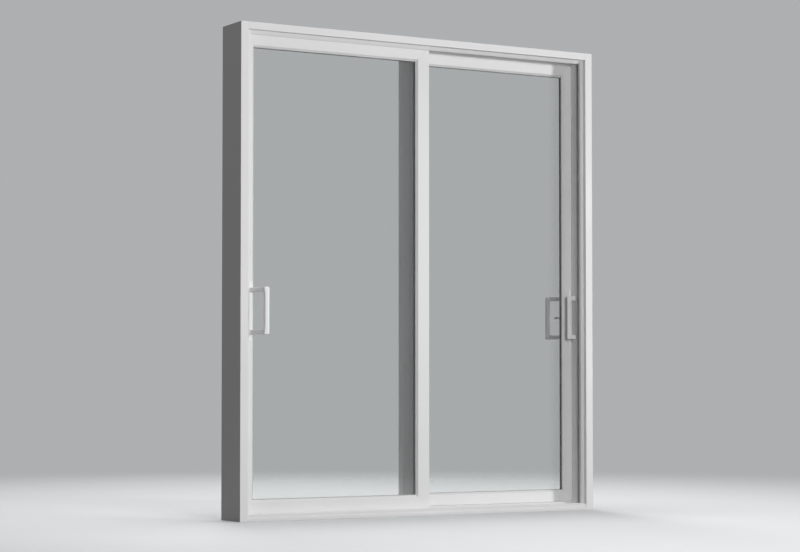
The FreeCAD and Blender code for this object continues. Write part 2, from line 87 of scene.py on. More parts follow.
# Lock plates: share of the width in a rounded corner, its steps, and how a slot's face is found
PLATE_CORNER = 0.32
CORNER_STEPS = 5
CUT_TOLERANCE = 1e-7
SQUARELY = 0.9

# Share of a gasket's height in its rounded edges
GASKET_EDGE = 0.4

# Roughness of the vinyl from patch to patch, plain and where feet scuff it
VINYL_ROUGH = (0.38, 0.48)
SCUFFED_ROUGH = (0.66, 0.76)


def colour_property(name, description, default):
    return FloatVectorProperty(
        name=name, description=description, default=default, subtype="COLOR", size=3, min=0.0, max=1.0
    )


def length_property(name, description, default):
    return FloatProperty(
        name=name, description=description, default=default, unit="LENGTH", subtype="DISTANCE"
    )


def place_property(name, description, default):
    return FloatVectorProperty(
        name=name, description=description, default=default, unit="LENGTH", subtype="TRANSLATION", size=3
    )


def power_property(name, description, default):
    return FloatProperty(name=name, description=description, default=default, unit="POWER")


def count_property(name, description, default, least):
    return IntProperty(name=name, description=description, default=default, min=least)


def number_property(name, description, default):
    return FloatProperty(name=name, description=description, default=default, min=0.0)


def angle_property(name, description, degrees):
    return FloatProperty(
        name=name, description=description, default=math.radians(degrees), unit="ROTATION", subtype="ANGLE"
    )


class DoorFinishes(bpy.types.PropertyGroup):
    vinyl: colour_property("Vinyl", "White of the frame and leaf bars", (0.80, 0.795, 0.80))
    vinyl_shade: colour_property("Vinyl shade", "Greyer patches in the white", (0.765, 0.76, 0.765))
    pull: colour_property("Pull", "White coating of the pulls", (0.91, 0.905, 0.91))
    glass: colour_property("Glass", "Tint of the panes", (0.955, 0.965, 0.96))
    glass_shade: colour_property(
        "Glass shade", "What each face of a pane lets through of a lamp's light", (0.50, 0.51, 0.505)
    )
    gasket: colour_property("Gasket", "Glazing gasket beside the panes", (0.52, 0.52, 0.51))
    pile: colour_property("Pile", "Brush seal", (0.50, 0.50, 0.505))
    aluminium: colour_property("Aluminium", "Tracks", (0.66, 0.67, 0.68))
    spacer: colour_property("Spacer", "Spacer bars between the panes", (0.86, 0.865, 0.87))
    steel: colour_property("Steel", "Lock plates, keepers and screws", (0.58, 0.58, 0.585))
    # Near-black painted shade for the sunk faces of the lock slots, in place of the shade inside the
    # openings
    slot_painted_shade: colour_property("Slot", "Inside of the lock slots", (0.03, 0.03, 0.032))
    nylon: colour_property("Nylon", "Rollers", (0.12, 0.12, 0.125))
    rubber: colour_property("Rubber", "Travel stops", (0.035, 0.035, 0.036))


class DoorDetails(bpy.types.PropertyGroup):
    bar_round: length_property("Bar rounding", "Rounding of the frame bars' edges", 1.2 * MM)
    leaf_round: length_property("Leaf rounding", "Rounding of the leaf bars' edges", 1.0 * MM)
    pull_round: length_property("Pull rounding", "Rounding of the pulls' sharp edges", 1.3 * MM)
    track_round: length_property("Track rounding", "Rounding of the tracks' tops", 2.2 * MM)
    stop_round: length_property("Stop rounding", "Rounding of the travel stops", 3.0 * MM)
    turn_round: length_property("Turn rounding", "Rounding of the thumb turns", 0.7 * MM)
    roller_round: length_property("Roller rounding", "Rounding of the rollers' rims", 0.8 * MM)
    round_segments: count_property("Rounding steps", "Steps in a rounded edge", 3, least=1)
    least_edge: length_property("Least edge", "Shortest edge of a frame bar that is rounded", 4.0 * MM)
    gasket_inset: length_property("Gasket inset", "From a glazing bead's edge to its gasket", 18.0 * MM)
    gasket_show: length_property("Gasket width", "What shows of a gasket beside the lip", 2.2 * MM)
    gasket_stand: length_property("Gasket height", "How far a gasket stands off the glass", 1.6 * MM)
    channel_clear: length_property("Channel clearance", "From a leaf's face to its channel wall", 5.0 * MM)
    pile_width: length_property("Pile width", "Width of a brush seal", 6.0 * MM)
    pile_clear: length_property("Pile clearance", "From a brush seal to the face that passes it", 0.8 * MM)
    divider_short: length_property("Divider set back", "From a jamb leg's edge to its divider's", 18.0 * MM)
    divider_raise: length_property("Divider raise", "From the head leg's edge to its divider's", 5.0 * MM)
    pile_back: length_property("Pile set back", "From a leg's edge to its brush seal", 1.0 * MM)
    pile_round: length_property("Pile rounding", "Rounding of a channel's brush seal", 0.8 * MM)
    fin_thick: length_property("Fin thickness", "Thickness of an interlock's fin", 4.0 * MM)
    fin_pile_edge: length_property("Fin pile edge", "From a fin's edge to its brush seal", 1.0 * MM)
    fin_pile_reach: length_property("Fin pile reach", "How far a fin's brush seal stands out", 3.6 * MM)
    fin_pile_round: length_property("Fin pile rounding", "Rounding of a fin's brush seal", 0.6 * MM)
    plate_width: length_property("Plate width", "Width of a pull's back plate", 14.0 * MM)
    plate_thick: length_property("Plate thickness", "Thickness of a pull's back plate", 6.0 * MM)
    screw_radius: length_property("Screw head", "Radius of a plate's screw head", 3.6 * MM)
    screw_height: length_property("Screw height", "How far a pull's screw head stands out", 1.2 * MM)
    flush_height: length_property("Flush screw height", "How far a lock's screw head stands out", 0.5 * MM)
    screw_inset: length_property("Screw inset", "From a plate's end to its screw", 13.0 * MM)
    slot_border: length_property("Slot border", "From a plate's edge to its slot", 5.0 * MM)
    lock_slot: length_property("Lock slot", "Length of a lock plate's slot with its borders", 44.0 * MM)
    keeper_slot: length_property("Keeper slot", "Length of a keeper's slot with its borders", 62.0 * MM)
    slot_depth: length_property("Slot depth", "Depth of a slot in a plate", 1.4 * MM)


class DoorStage(bpy.types.PropertyGroup):
    camera_place: place_property("Camera", "Where the camera stands", (-4.862, -8.151, 0.567))
    camera_turn: angle_property("Camera turn", "Turn to the right of straight ahead", 30.427)
    camera_tilt: angle_property("Camera tilt", "Tilt upwards", 2.133)
    focal_pixels: number_property("Focal length", "In pixels of the picture", 2145.7)
    rise_pixels: number_property("Rise", "Upward shift, in pixels of the picture", 30.0)
    floor_radius: length_property("Floor", "Radius of the floor", 6.0)
    floor_near: length_property("Floor fade start", "Where the floor starts to fade", 1.2)
    floor_far: length_property("Floor fade end", "Where the floor has faded out", 5.2)
    floor_sides: count_property("Floor sides", "Sides of the round floor", 96, least=3)
    floor: colour_property("Floor colour", "Colour of the floor where it is seen", (0.78, 0.79, 0.80))
    floor_bounce: colour_property("Floor bounce", "Floor's colour in light thrown back", (0.10, 0.10, 0.10))
    backdrop: colour_property("Backdrop", "Colour of what lies behind", (0.42, 0.43, 0.44))
    fill: number_property("Fill", "Strength of the light from all round", 0.08)
    key_power: power_property("Key", "Power of the main lamp", 400.0)
    key_place: place_property("Key place", "Where the main lamp stands", (7.2, -7.8, 1.9))
    key_size: length_property("Key size", "Width of the main lamp", 1.1)
    front_power: power_property("Front", "Power of the soft front lamp", 125.0)
    front_place: place_property("Front place", "Where the front lamp stands", (-0.9, -5.0, 1.6))
    front_size: length_property("Front size", "Width of the front lamp", 2.0)
    back_power: power_property("Back", "Power of the soft lamp behind", 620.0)
    back_place: place_property("Back place", "Where the lamp behind stands", (3.0, 9.5, 3.6))
    back_size: length_property("Back size", "Width of the lamp behind", 4.0)
    top_power: power_property("Top", "Power of the soft lamp overhead", 480.0)
    top_place: place_property("Top place", "Where the lamp overhead hangs", (0.0, 0.3, 9.0))
    top_size: length_property("Top size", "Width of the lamp overhead", 5.0)


def finishes():
    return bpy.context.scene.door_finishes


def details():
    return bpy.context.scene.door_details


def stage():
    return bpy.context.scene.door_stage


# Finishes


def new_material(name):
    """A material with its Principled shader and a helper that adds nodes to it."""
    material = bpy.data.materials.new(name)
    material.use_nodes = True
    tree = material.node_tree
    shader = tree.nodes["Principled BSDF"]

    def add(kind, **values):
        node = tree.nodes.new(kind)
        for key, value in values.items():
            setattr(node, key, value)
        return node

    return material, tree, shader, add


def object_coordinates(tree, add, scale):
    """Object coordinates stretched by a scale along each axis."""
    coordinates = add("ShaderNodeTexCoord")
    mapping = add("ShaderNodeMapping")
    mapping.inputs["Scale"].default_value = scale
    tree.links.new(coordinates.outputs["Object"], mapping.inputs["Vector"])
    return mapping.outputs["Vector"]


def noise(tree, add, vector, scale, detail, roughness=0.5):
    node = add("ShaderNodeTexNoise")
    node.inputs["Scale"].default_value = scale
    node.inputs["Detail"].default_value = detail
    node.inputs["Roughness"].default_value = roughness
    tree.links.new(vector, node.inputs["Vector"])
    return node.outputs["Fac"]


def ramp(tree, add, source, low, high, low_at=0.35, high_at=0.65):
    """Blend of two colours over part of a pattern's range."""
    node = add("ShaderNodeValToRGB")
    first, last = node.color_ramp.elements
    first.position = low_at
    last.position = high_at
    first.color = (*low, 1.0)
    last.color = (*high, 1.0)
    tree.links.new(source, node.inputs["Fac"])
    return node.outputs["Color"]


def spread(tree, add, source, low, high, start=0.3, end=0.7):
    """The middle of a pattern's range laid onto another range."""
    node = add("ShaderNodeMapRange")
    node.inputs["From Min"].default_value = start
    node.inputs["From Max"].default_value = end
    node.inputs["To Min"].default_value = low
    node.inputs["To Max"].default_value = high
    tree.links.new(source, node.inputs["Value"])
    return node.outputs["Result"]


def bump(tree, add, source, distance, strength, previous=None):
    node = add("ShaderNodeBump")
    node.inputs["Distance"].default_value = distance
    node.inputs["Strength"].default_value = strength
    tree.links.new(source, node.inputs["Height"])
    if previous is not None:
        tree.links.new(previous, node.inputs["Normal"])
    return node.outputs["Normal"]


def stretched(along, across_scale, along_scale):
    """Scales for a pattern drawn out or packed along one axis."""
    scale = [across_scale] * 3
    scale[along] = along_scale
    return scale


def toned(colour, share):
    return tuple(share * part for part in colour)


def vinyl_finish(name, along, rough):
    """White extruded vinyl: faint draw lines along the bar, a fine skin and soft patches of tone."""
    material, tree, shader, add = new_material(name)
    even = object_coordinates(tree, add, EVEN)
    drawn = object_coordinates(tree, add, stretched(along, 260.0, 0.7))
    patches = noise(tree, add, even, scale=2.3, detail=2.0)
    lines = noise(tree, add, drawn, scale=1.0, detail=2.0)
    skin = noise(tree, add, even, scale=1400.0, detail=2.0)
    tone = ramp(tree, add, patches, finishes().vinyl_shade, finishes().vinyl)
    tree.links.new(tone, shader.inputs["Base Color"])
    tree.links.new(spread(tree, add, patches, *rough), shader.inputs["Roughness"])
    line_bump = bump(tree, add, lines, distance=0.08 * MM, strength=0.25)
    skin_bump = bump(tree, add, skin, distance=0.04 * MM, strength=0.3, previous=line_bump)
    tree.links.new(skin_bump, shader.inputs["Normal"])
    shader.inputs["IOR"].default_value = 1.53
    return material


def coated_finish(name, colour):
    """Powder coating on cast metal: an orange-peel skin under a soft gloss."""
    material, tree, shader, add = new_material(name)
    even = object_coordinates(tree, add, EVEN)
    peel = noise(tree, add, even, scale=620.0, detail=1.5)
    patches = noise(tree, add, even, scale=9.0, detail=2.0)
    tone = ramp(tree, add, patches, toned(colour, 0.95), colour)
    tree.links.new(tone, shader.inputs["Base Color"])
    tree.links.new(spread(tree, add, peel, low=0.26, high=0.36), shader.inputs["Roughness"])
    peel_bump = bump(tree, add, peel, distance=0.06 * MM, strength=0.35)
    tree.links.new(peel_bump, shader.inputs["Normal"])
    shader.inputs["Coat Weight"].default_value = 0.25
    shader.inputs["Coat Roughness"].default_value = 0.18
    return material


def metal_finish(name, colour, along, rough):
    """Bare metal brushed along one axis."""
    material, tree, shader, add = new_material(name)
    brushing = object_coordinates(tree, add, stretched(along, 900.0, 9.0))
    brushed = noise(tree, add, brushing, scale=1.0, detail=3.0)
    worn = noise(tree, add, object_coordinates(tree, add, EVEN), scale=24.0, detail=3.0)
    tone = ramp(tree, add, worn, toned(colour, 0.82), colour)
    tree.links.new(tone, shader.inputs["Base Color"])
    gloss = spread(tree, add, brushed, low=rough - 0.07, high=rough + 0.09)
    tree.links.new(gloss, shader.inputs["Roughness"])
    brush_bump = bump(tree, add, brushed, distance=0.03 * MM, strength=0.3)
    tree.links.new(brush_bump, shader.inputs["Normal"])
    shader.inputs["Metallic"].default_value = 1.0
    return material


def moulded_finish(name, colour, rough, grain):
    """Moulded rubber or nylon with a fine grain; the same finish in near-black is the painted shade in the
    lock slots.
    """
    material, tree, shader, add = new_material(name)
    pattern = noise(tree, add, object_coordinates(tree, add, EVEN), scale=grain, detail=3.0)
    tone = ramp(tree, add, pattern, colour, toned(colour, 1.25))
    tree.links.new(tone, shader.inputs["Base Color"])
    gloss = spread(tree, add, pattern, low=rough - 0.08, high=rough + 0.08)
    tree.links.new(gloss, shader.inputs["Roughness"])
    grain_bump = bump(tree, add, pattern, distance=0.1 * MM, strength=0.4)
    tree.links.new(grain_bump, shader.inputs["Normal"])
    return material


def pile_finish(name, colour, along):
    """Woven brush pile: short fibres across the strip, in tufts along it."""
    material, tree, shader, add = new_material(name)
    tufts = object_coordinates(tree, add, stretched(along, 500.0, 1600.0))
    fibres = noise(tree, add, tufts, scale=1.0, detail=2.0, roughness=0.7)
    tone = ramp(tree, add, fibres, colour, toned(colour, 1.9), low_at=0.3, high_at=0.75)
    tree.links.new(tone, shader.inputs["Base Color"])
    fibre_bump = bump(tree, add, fibres, distance=0.5 * MM, strength=0.8)
    tree.links.new(fibre_bump, shader.inputs["Normal"])
    shader.inputs["Roughness"].default_value = 0.95
    shader.inputs["Sheen Weight"].default_value = 0.4
    return material


def glass_finish(name, tint, shade):
    """Clear coated glass that lets part of a lamp's light through."""
    material, tree, shader, add = new_material(name)
    shader.inputs["Base Color"].default_value = (*tint, 1.0)
    shader.inputs["Transmission Weight"].default_value = 1.0
    shader.inputs["Roughness"].default_value = 0.0
    shader.inputs["IOR"].default_value = 1.5
    path = add("ShaderNodeLightPath")
    clear = add("ShaderNodeBsdfTransparent")
    clear.inputs["Color"].default_value = (*shade, 1.0)
    mix = add("ShaderNodeMixShader")
    tree.links.new(path.outputs["Is Shadow Ray"], mix.inputs["Fac"])
    tree.links.new(shader.outputs["BSDF"], mix.inputs[1])
    tree.links.new(clear.outputs["BSDF"], mix.inputs[2])
    tree.links.new(mix.outputs["Shader"], tree.nodes["Material Output"].inputs["Surface"])
    return material


def finish(name):
    """One of the door's finishes, made when first asked for."""
    material = bpy.data.materials.get(name)
    if material is not None:
        return material
    colours = finishes()
    makers = {
        "white_vinyl_upright": lambda: vinyl_finish(name, UPRIGHT, VINYL_ROUGH),
        "white_vinyl_level": lambda: vinyl_finish(name, LEVEL, VINYL_ROUGH),
        "white_vinyl_scuffed": lambda: vinyl_finish(name, LEVEL, SCUFFED_ROUGH),
        "white_pull_coating": lambda: coated_finish(name, tuple(colours.pull)),
        "aluminium_level": lambda: metal_finish(name, tuple(colours.aluminium), LEVEL, rough=0.34),
        "steel_upright": lambda: metal_finish(name, tuple(colours.steel), UPRIGHT, rough=0.3),
        "spacer_aluminium": lambda: metal_finish(name, tuple(colours.spacer), UPRIGHT, rough=0.42),
        # Painted shade: near-black on the slots' sunk faces in place of the shade inside them
        "dark_slot": lambda: moulded_finish(name, tuple(colours.slot_painted_shade), rough=0.7, grain=300.0),
        "roller_nylon": lambda: moulded_finish(name, tuple(colours.nylon), rough=0.5, grain=700.0),
        "stop_rubber": lambda: moulded_finish(name, tuple(colours.rubber), rough=0.7, grain=900.0),
        "gasket_rubber": lambda: moulded_finish(name, tuple(colours.gasket), rough=0.6, grain=1200.0),
        "pile_upright": lambda: pile_finish(name, tuple(colours.pile), UPRIGHT),
        "pile_level": lambda: pile_finish(name, tuple(colours.pile), LEVEL),
        "clear_glass": lambda: glass_finish(name, tuple(colours.glass), tuple(colours.glass_shade)),
    }
    return makers[name]()


# Shapes


def finished_piece(mesh_tool, name, body, materials, replaced=(), soft_edges=True):
    """Turn a bmesh into a piece that rides on a body."""
    mesh = bpy.data.meshes.new(name)
    mesh_tool.normal_update()
    for face in mesh_tool.faces:
        face.smooth = soft_edges
    mesh_tool.to_mesh(mesh)
    mesh_tool.free()
    for material in materials:
        mesh.materials.append(finish(material))
    piece = bpy.data.objects.new(name, mesh)
    bpy.context.scene.collection.objects.link(piece)
    if soft_edges:
        weighted = piece.modifiers.new("Even shading", "WEIGHTED_NORMAL")
        weighted.mode = "FACE_AREA"
        weighted.weight = 50
    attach(piece, body)
    if replaced:
        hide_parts(*replaced)


def node_shape(node):
    """A CAD node's mesh with its triangles joined into whole faces."""
    tool = bmesh.new()
    tool.from_mesh(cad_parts[node].data)
    bmesh.ops.remove_doubles(tool, verts=tool.verts, dist=MERGE_DISTANCE)
    bmesh.ops.dissolve_limit(tool, angle_limit=FLAT_ANGLE, verts=tool.verts, edges=tool.edges)
    return tool


def bevel_edges(tool, edges, radius, segments):
    bmesh.ops.bevel(
        tool, geom=edges, offset=radius, offset_type="OFFSET", segments=segments, profile=0.5,
        affect="EDGES", clamp_overlap=True, material=-1,
    )


def rounded_node(node, body, material, radius, least_angle=BAR_ANGLE, least_length=0.0):
    """A CAD node's shape with its sharp edges rounded, standing for the node."""
    tool = node_shape(node)
    sharp = [
        edge for edge in tool.edges
        if edge.is_manifold
        and edge.calc_face_angle() > least_angle
        and edge.calc_length() > least_length
    ]
    bevel_edges(tool, sharp, radius, details().round_segments)
    finished_piece(tool, node + "_rounded", body, [material], [node])


def add_block(tool, low, high, radius=0.0, segments=2):
    """A box between two corners, with its edges rounded."""
    low, high = Vector(low), Vector(high)
    made = bmesh.ops.create_cube(tool, size=1.0)["verts"]
    bmesh.ops.scale(tool, vec=high - low, verts=made)
    bmesh.ops.translate(tool, vec=(low + high) / 2, verts=made)
    if radius > 0.0:
        bevel_edges(tool, list({edge for vert in made for edge in vert.link_edges}), radius, segments)


def add_ring(tool, low, high, border, radius):
    """A flat upright frame in X and Z, made of four bars between two corners."""
    x0, y0, z0 = low
    x1, y1, z1 = high
    add_block(tool, (x0, y0, z0), (x0 + border, y1, z1), radius)
    add_block(tool, (x1 - border, y0, z0), (x1, y1, z1), radius)
    add_block(tool, (x0 + border, y0, z0), (x1 - border, y1, z0 + border), radius)
    add_block(tool, (x0 + border, y0, z1 - border), (x1 - border, y1, z1), radius)


def add_screw(tool, place, axis, radius, height):
    """A pan-head screw with a socket, standing out along an axis."""
    made = bmesh.ops.create_cone(
        tool, cap_ends=True, cap_tris=False, segments=SCREW_SIDES, depth=height,
        radius1=radius, radius2=radius * SCREW_TAPER,
    )["verts"]
    faces = {face for vert in made for face in vert.link_faces}
    top = max(faces, key=lambda face: face.calc_center_median().z)
    bmesh.ops.inset_region(tool, faces=[top], thickness=radius * SOCKET_BORDER, use_even_offset=True)
    sunk = bmesh.ops.extrude_discrete_faces(tool, faces=[top])["faces"]
    bmesh.ops.translate(tool, vec=(0.0, 0.0, -height * SOCKET_DEPTH), verts=list(sunk[0].verts))
    whole = set(made)
    grown = True
    while grown:
        fresh = {other for vert in whole for edge in vert.link_edges for other in edge.verts} - whole
        grown = bool(fresh)
        whole |= fresh
    turn = Vector((0.0, 0.0, 1.0)).rotation_difference(Vector(axis)).to_matrix().to_4x4()
    lift = Vector(axis).normalized() * (height / 2)
    bmesh.ops.transform(tool, matrix=Matrix.Translation(Vector(place) + lift) @ turn, verts=list(whole))


def leaf_body(leaf):
    return leaf + "_leaf"


# Door


class DOOR_OT_frame_bars(bpy.types.Operator):
    """Round the edges of the jambs, head and sill"""

    bl_idname = "door.frame_bars"
    bl_label = "Frame Bars"

    def execute(self, context):
        size = details()
        for node, material in (
            ("left_jamb", "white_vinyl_upright"),
            ("right_jamb", "white_vinyl_upright"),
            ("head", "white_vinyl_level"),
            ("sill", "white_vinyl_scuffed"),
        ):
            rounded_node(
                node, "frame", material, size.bar_round, BAR_ANGLE, size.least_edge
            )
        return {"FINISHED"}


class DOOR_OT_leaf_bars(bpy.types.Operator):
    """Round the edges of the stiles, rails, beads and interlocks"""

    bl_idname = "door.leaf_bars"
    bl_label = "Leaf Bars"

    def execute(self, context):
        for leaf in LEAVES:
            for bar, material in (
                ("outer_stile", "white_vinyl_upright"),
                ("meeting_stile", "white_vinyl_upright"),
                ("top_rail", "white_vinyl_level"),
                ("bottom_rail", "white_vinyl_level"),
                ("glazing_bead", "white_vinyl_upright"),
                ("interlock", "white_vinyl_upright"),
            ):
                node = "%s_%s" % (leaf, bar)
                rounded_node(node, leaf_body(leaf), material, details().leaf_round)
        return {"FINISHED"}


class DOOR_OT_glass_units(bpy.types.Operator):
    """Finish the panes and spacer bars and lay the gaskets beside them"""

    bl_idname = "door.glass_units"
    bl_label = "Glass Units"

    def execute(self, context):
        for leaf in LEAVES:
            self.set_finish(leaf + "_outer_pane", "clear_glass")
            self.set_finish(leaf + "_inner_pane", "clear_glass")
            self.set_finish(leaf + "_spacer", "spacer_aluminium")
            self.add_gaskets(leaf)
        return {"FINISHED"}

    def set_finish(self, node, material):
        """A finish on a CAD node whose shape is kept."""
        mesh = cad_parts[node].data
        mesh.materials.clear()
        mesh.materials.append(finish(material))

    def add_gaskets(self, leaf):
        """A ring on each side of the glass unit, along the bars' lips."""
        size = details()
        outer_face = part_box(leaf + "_outer_pane")[0].y
        inner_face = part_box(leaf + "_inner_pane")[1].y
        bead_low, bead_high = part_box(leaf + "_glazing_bead")
        inset = size.gasket_inset
        for side, y_low, y_high in (
            ("outside", outer_face - size.gasket_stand, outer_face),
            ("inside", inner_face, inner_face + size.gasket_stand),
        ):
            tool = bmesh.new()
            low = (bead_low.x + inset, y_low, bead_low.z + inset)
            high = (bead_high.x - inset, y_high, bead_high.z - inset)
            add_ring(tool, low, high, size.gasket_show, size.gasket_stand * GASKET_EDGE)
            name = "%s_%s_gasket" % (leaf, side)
            finished_piece(tool, name, leaf_body(leaf), ["gasket_rubber"])


class DOOR_OT_pulls(bpy.types.Operator):
    """Soften the pulls and thumb turns and screw the inside plates on"""

    bl_idname = "door.pulls"
    bl_label = "Pulls"

    def execute(self, context):
        size = details()
        for leaf in LEAVES:
            for side in ("outside", "inside"):
                pull = "%s_%s_pull" % (leaf, side)
                self.soften(pull, leaf_body(leaf), size.pull_round)
            self.soften(leaf + "_thumb_turn", leaf + "_turn", size.turn_round)
            self.add_plate_screws(leaf, size)
        return {"FINISHED"}

    def soften(self, node, body, radius):
        rounded_node(node, body, "white_pull_coating", radius, PULL_ANGLE)

    def add_plate_screws(self, leaf, size):
        low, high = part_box(leaf + "_inside_pull")
        middle = low.x + size.plate_width / 2 if leaf == "front" else high.x - size.plate_width / 2
        plate_face = low.y + size.plate_thick
        tool = bmesh.new()
        for height in (low.z + size.screw_inset, high.z - size.screw_inset):
            add_screw(tool, (middle, plate_face, height), (0, 1, 0), size.screw_radius, size.screw_height)
        finished_piece(tool, leaf + "_plate_screws", leaf_body(leaf), ["steel_upright"])


class DOOR_OT_locks(bpy.types.Operator):
    """Lock plates in the leaves' edges and keepers on the jambs, with slots and screws"""

    bl_idname = "door.locks"
    bl_label = "Locks"

    def execute(self, context):
        size = details()
        for leaf in LEAVES:
            outward = -1 if leaf == "front" else 1
            self.make_plate(leaf + "_lock_plate", leaf_body(leaf), outward, size.lock_slot)
            self.make_plate(leaf + "_keeper", "frame", -outward, size.keeper_slot)
        return {"FINISHED"}

    def make_plate(self, node, body, outward, slot_length):
        """Upright plate with round ends and a sunk slot on the side that faces outward; the slot's sunk
        faces are painted near-black as shade.
        """
        size = details()
        low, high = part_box(node)
        middle = (low + high) / 2
        tool = bmesh.new()
        add_block(tool, low, high)
        across = [e for e in tool.edges if abs(e.verts[0].co.x - e.verts[1].co.x) > MERGE_DISTANCE]
        bevel_edges(tool, across, (high.y - low.y) * PLATE_CORNER, CORNER_STEPS)
        for offset in (-slot_length / 2, slot_length / 2):
            bmesh.ops.bisect_plane(
                tool, geom=tool.verts[:] + tool.edges[:] + tool.faces[:], dist=CUT_TOLERANCE,
                plane_co=(middle.x, middle.y, middle.z + offset), plane_no=(0, 0, 1),
            )
        target = [
            f for f in tool.faces
            if f.normal.x * outward > SQUARELY
            and abs(f.calc_center_median().z - middle.z) < slot_length / 4
        ]
        bmesh.ops.inset_region(tool, faces=target, thickness=size.slot_border, use_even_offset=True)
        sunk = bmesh.ops.extrude_discrete_faces(tool, faces=target)["faces"]
        depth = Vector((-outward * size.slot_depth, 0, 0))
        bmesh.ops.translate(tool, vec=depth, verts=list({v for f in sunk for v in f.verts}))
        # The sunk faces take the near-black painted shade
        for face in sunk:
            face.material_index = 1
        face_x = high.x if outward > 0 else low.x
        for height in (low.z + size.screw_inset, high.z - size.screw_inset):
            place = (face_x, middle.y, height)
            add_screw(tool, place, (outward, 0, 0), size.screw_radius, size.flush_height)
        materials = ["steel_upright", "dark_slot"]
        finished_piece(tool, node + "_slotted", body, materials, [node], soft_edges=False)


class DOOR_OT_running_gear(bpy.types.Operator):
    """Round the tracks, rollers and travel stops"""

    bl_idname = "door.running_gear"
    bl_label = "Running Gear"

    def execute(self, context):
        size = details()
        for leaf in LEAVES:
            rounded_node(leaf + "_track", "frame", "aluminium_level", size.track_round)
            rounded_node(leaf + "_stop", "frame", "stop_rubber", size.stop_round)
            rollers = leaf + "_rollers"
            rounded_node(rollers, leaf_body(leaf), "roller_nylon", size.roller_round, ROLLER_ANGLE)
        return {"FINISHED"}


class DOOR_OT_seals(bpy.types.Operator):
    """Brush seals between each leaf and its channel and between the interlocks"""

    bl_idname = "door.seals"
    bl_label = "Seals"

    def execute(self, context):
        for leaf in LEAVES:
            self.channel_seals(leaf)
            self.interlock_seal(leaf)
        return {"FINISHED"}

    def channel_seals(self, leaf):
        """Strips on both walls of the closed leaf's channel, up the jamb and along the head."""
        size = details()
        stile_low, stile_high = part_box(leaf + "_outer_stile")
        jamb_low, jamb_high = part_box("left_jamb" if leaf == "front" else "right_jamb")
        head_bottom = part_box("head")[0].z
        sill_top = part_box("sill")[1].z
        walls = (
            (stile_low.y - size.channel_clear, stile_low.y - size.pile_clear),
            (stile_high.y + size.pile_clear, stile_high.y + size.channel_clear),
        )
        setbacks = [(0.0, 0.0), (size.divider_short, size.divider_raise)]
        if leaf == "rear":
            setbacks.reverse()
        upright = bmesh.new()
        level = bmesh.new()
        for (y_low, y_high), (short, raised) in zip(walls, setbacks):
            back = size.pile_back + short
            if leaf == "front":
                jamb_x = (jamb_high.x - back - size.pile_width, jamb_high.x - back)
                head_x = (jamb_high.x, 0.0)
            else:
                jamb_x = (jamb_low.x + back, jamb_low.x + back + size.pile_width)
                head_x = (0.0, jamb_low.x)
            strip_bottom = head_bottom + size.pile_back + raised
            head_z = (strip_bottom, strip_bottom + size.pile_width)
            for strip, (x_low, x_high), (z_low, z_high) in (
                (upright, jamb_x, (sill_top, head_bottom)),
                (level, head_x, head_z),
            ):
                add_block(strip, (x_low, y_low, z_low), (x_high, y_high, z_high), size.pile_round)
        finished_piece(upright, leaf + "_jamb_pile", "frame", ["pile_upright"])
        finished_piece(level, leaf + "_head_pile", "frame", ["pile_level"])

    def interlock_seal(self, leaf):
        """Strip on the fin's side that faces the other leaf's fin."""
        size = details()
        low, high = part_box(leaf + "_interlock")
        edge = size.fin_pile_edge
        if leaf == "front":
            fin_x = high.x - size.fin_thick
            x_span = (fin_x - size.fin_pile_reach, fin_x)
            y_span = (high.y - edge - size.pile_width, high.y - edge)
        else:
            fin_x = low.x + size.fin_thick
            x_span = (fin_x, fin_x + size.fin_pile_reach)
            y_span = (low.y + edge, low.y + edge + size.pile_width)
        tool = bmesh.new()
        add_block(tool, (x_span[0], y_span[0], low.z), (x_span[1], y_span[1], high.z), size.fin_pile_round)
        finished_piece(tool, leaf + "_interlock_pile", leaf_body(leaf), ["pile_upright"])


# Stage


def seen_rays(tree):
    """One for what is seen straight, in gloss or through glass, and nought for light thrown about."""
    path = tree.nodes.new("ShaderNodeLightPath")
    seen = path.outputs["Is Camera Ray"]
    for kind in ("Is Glossy Ray", "Is Transmission Ray"):
        either = tree.nodes.new("ShaderNodeMath")
        either.operation = "MAXIMUM"
        tree.links.new(seen, either.inputs[0])
        tree.links.new(path.outputs[kind], either.inputs[1])
        seen = either.outputs["Value"]
    return seen


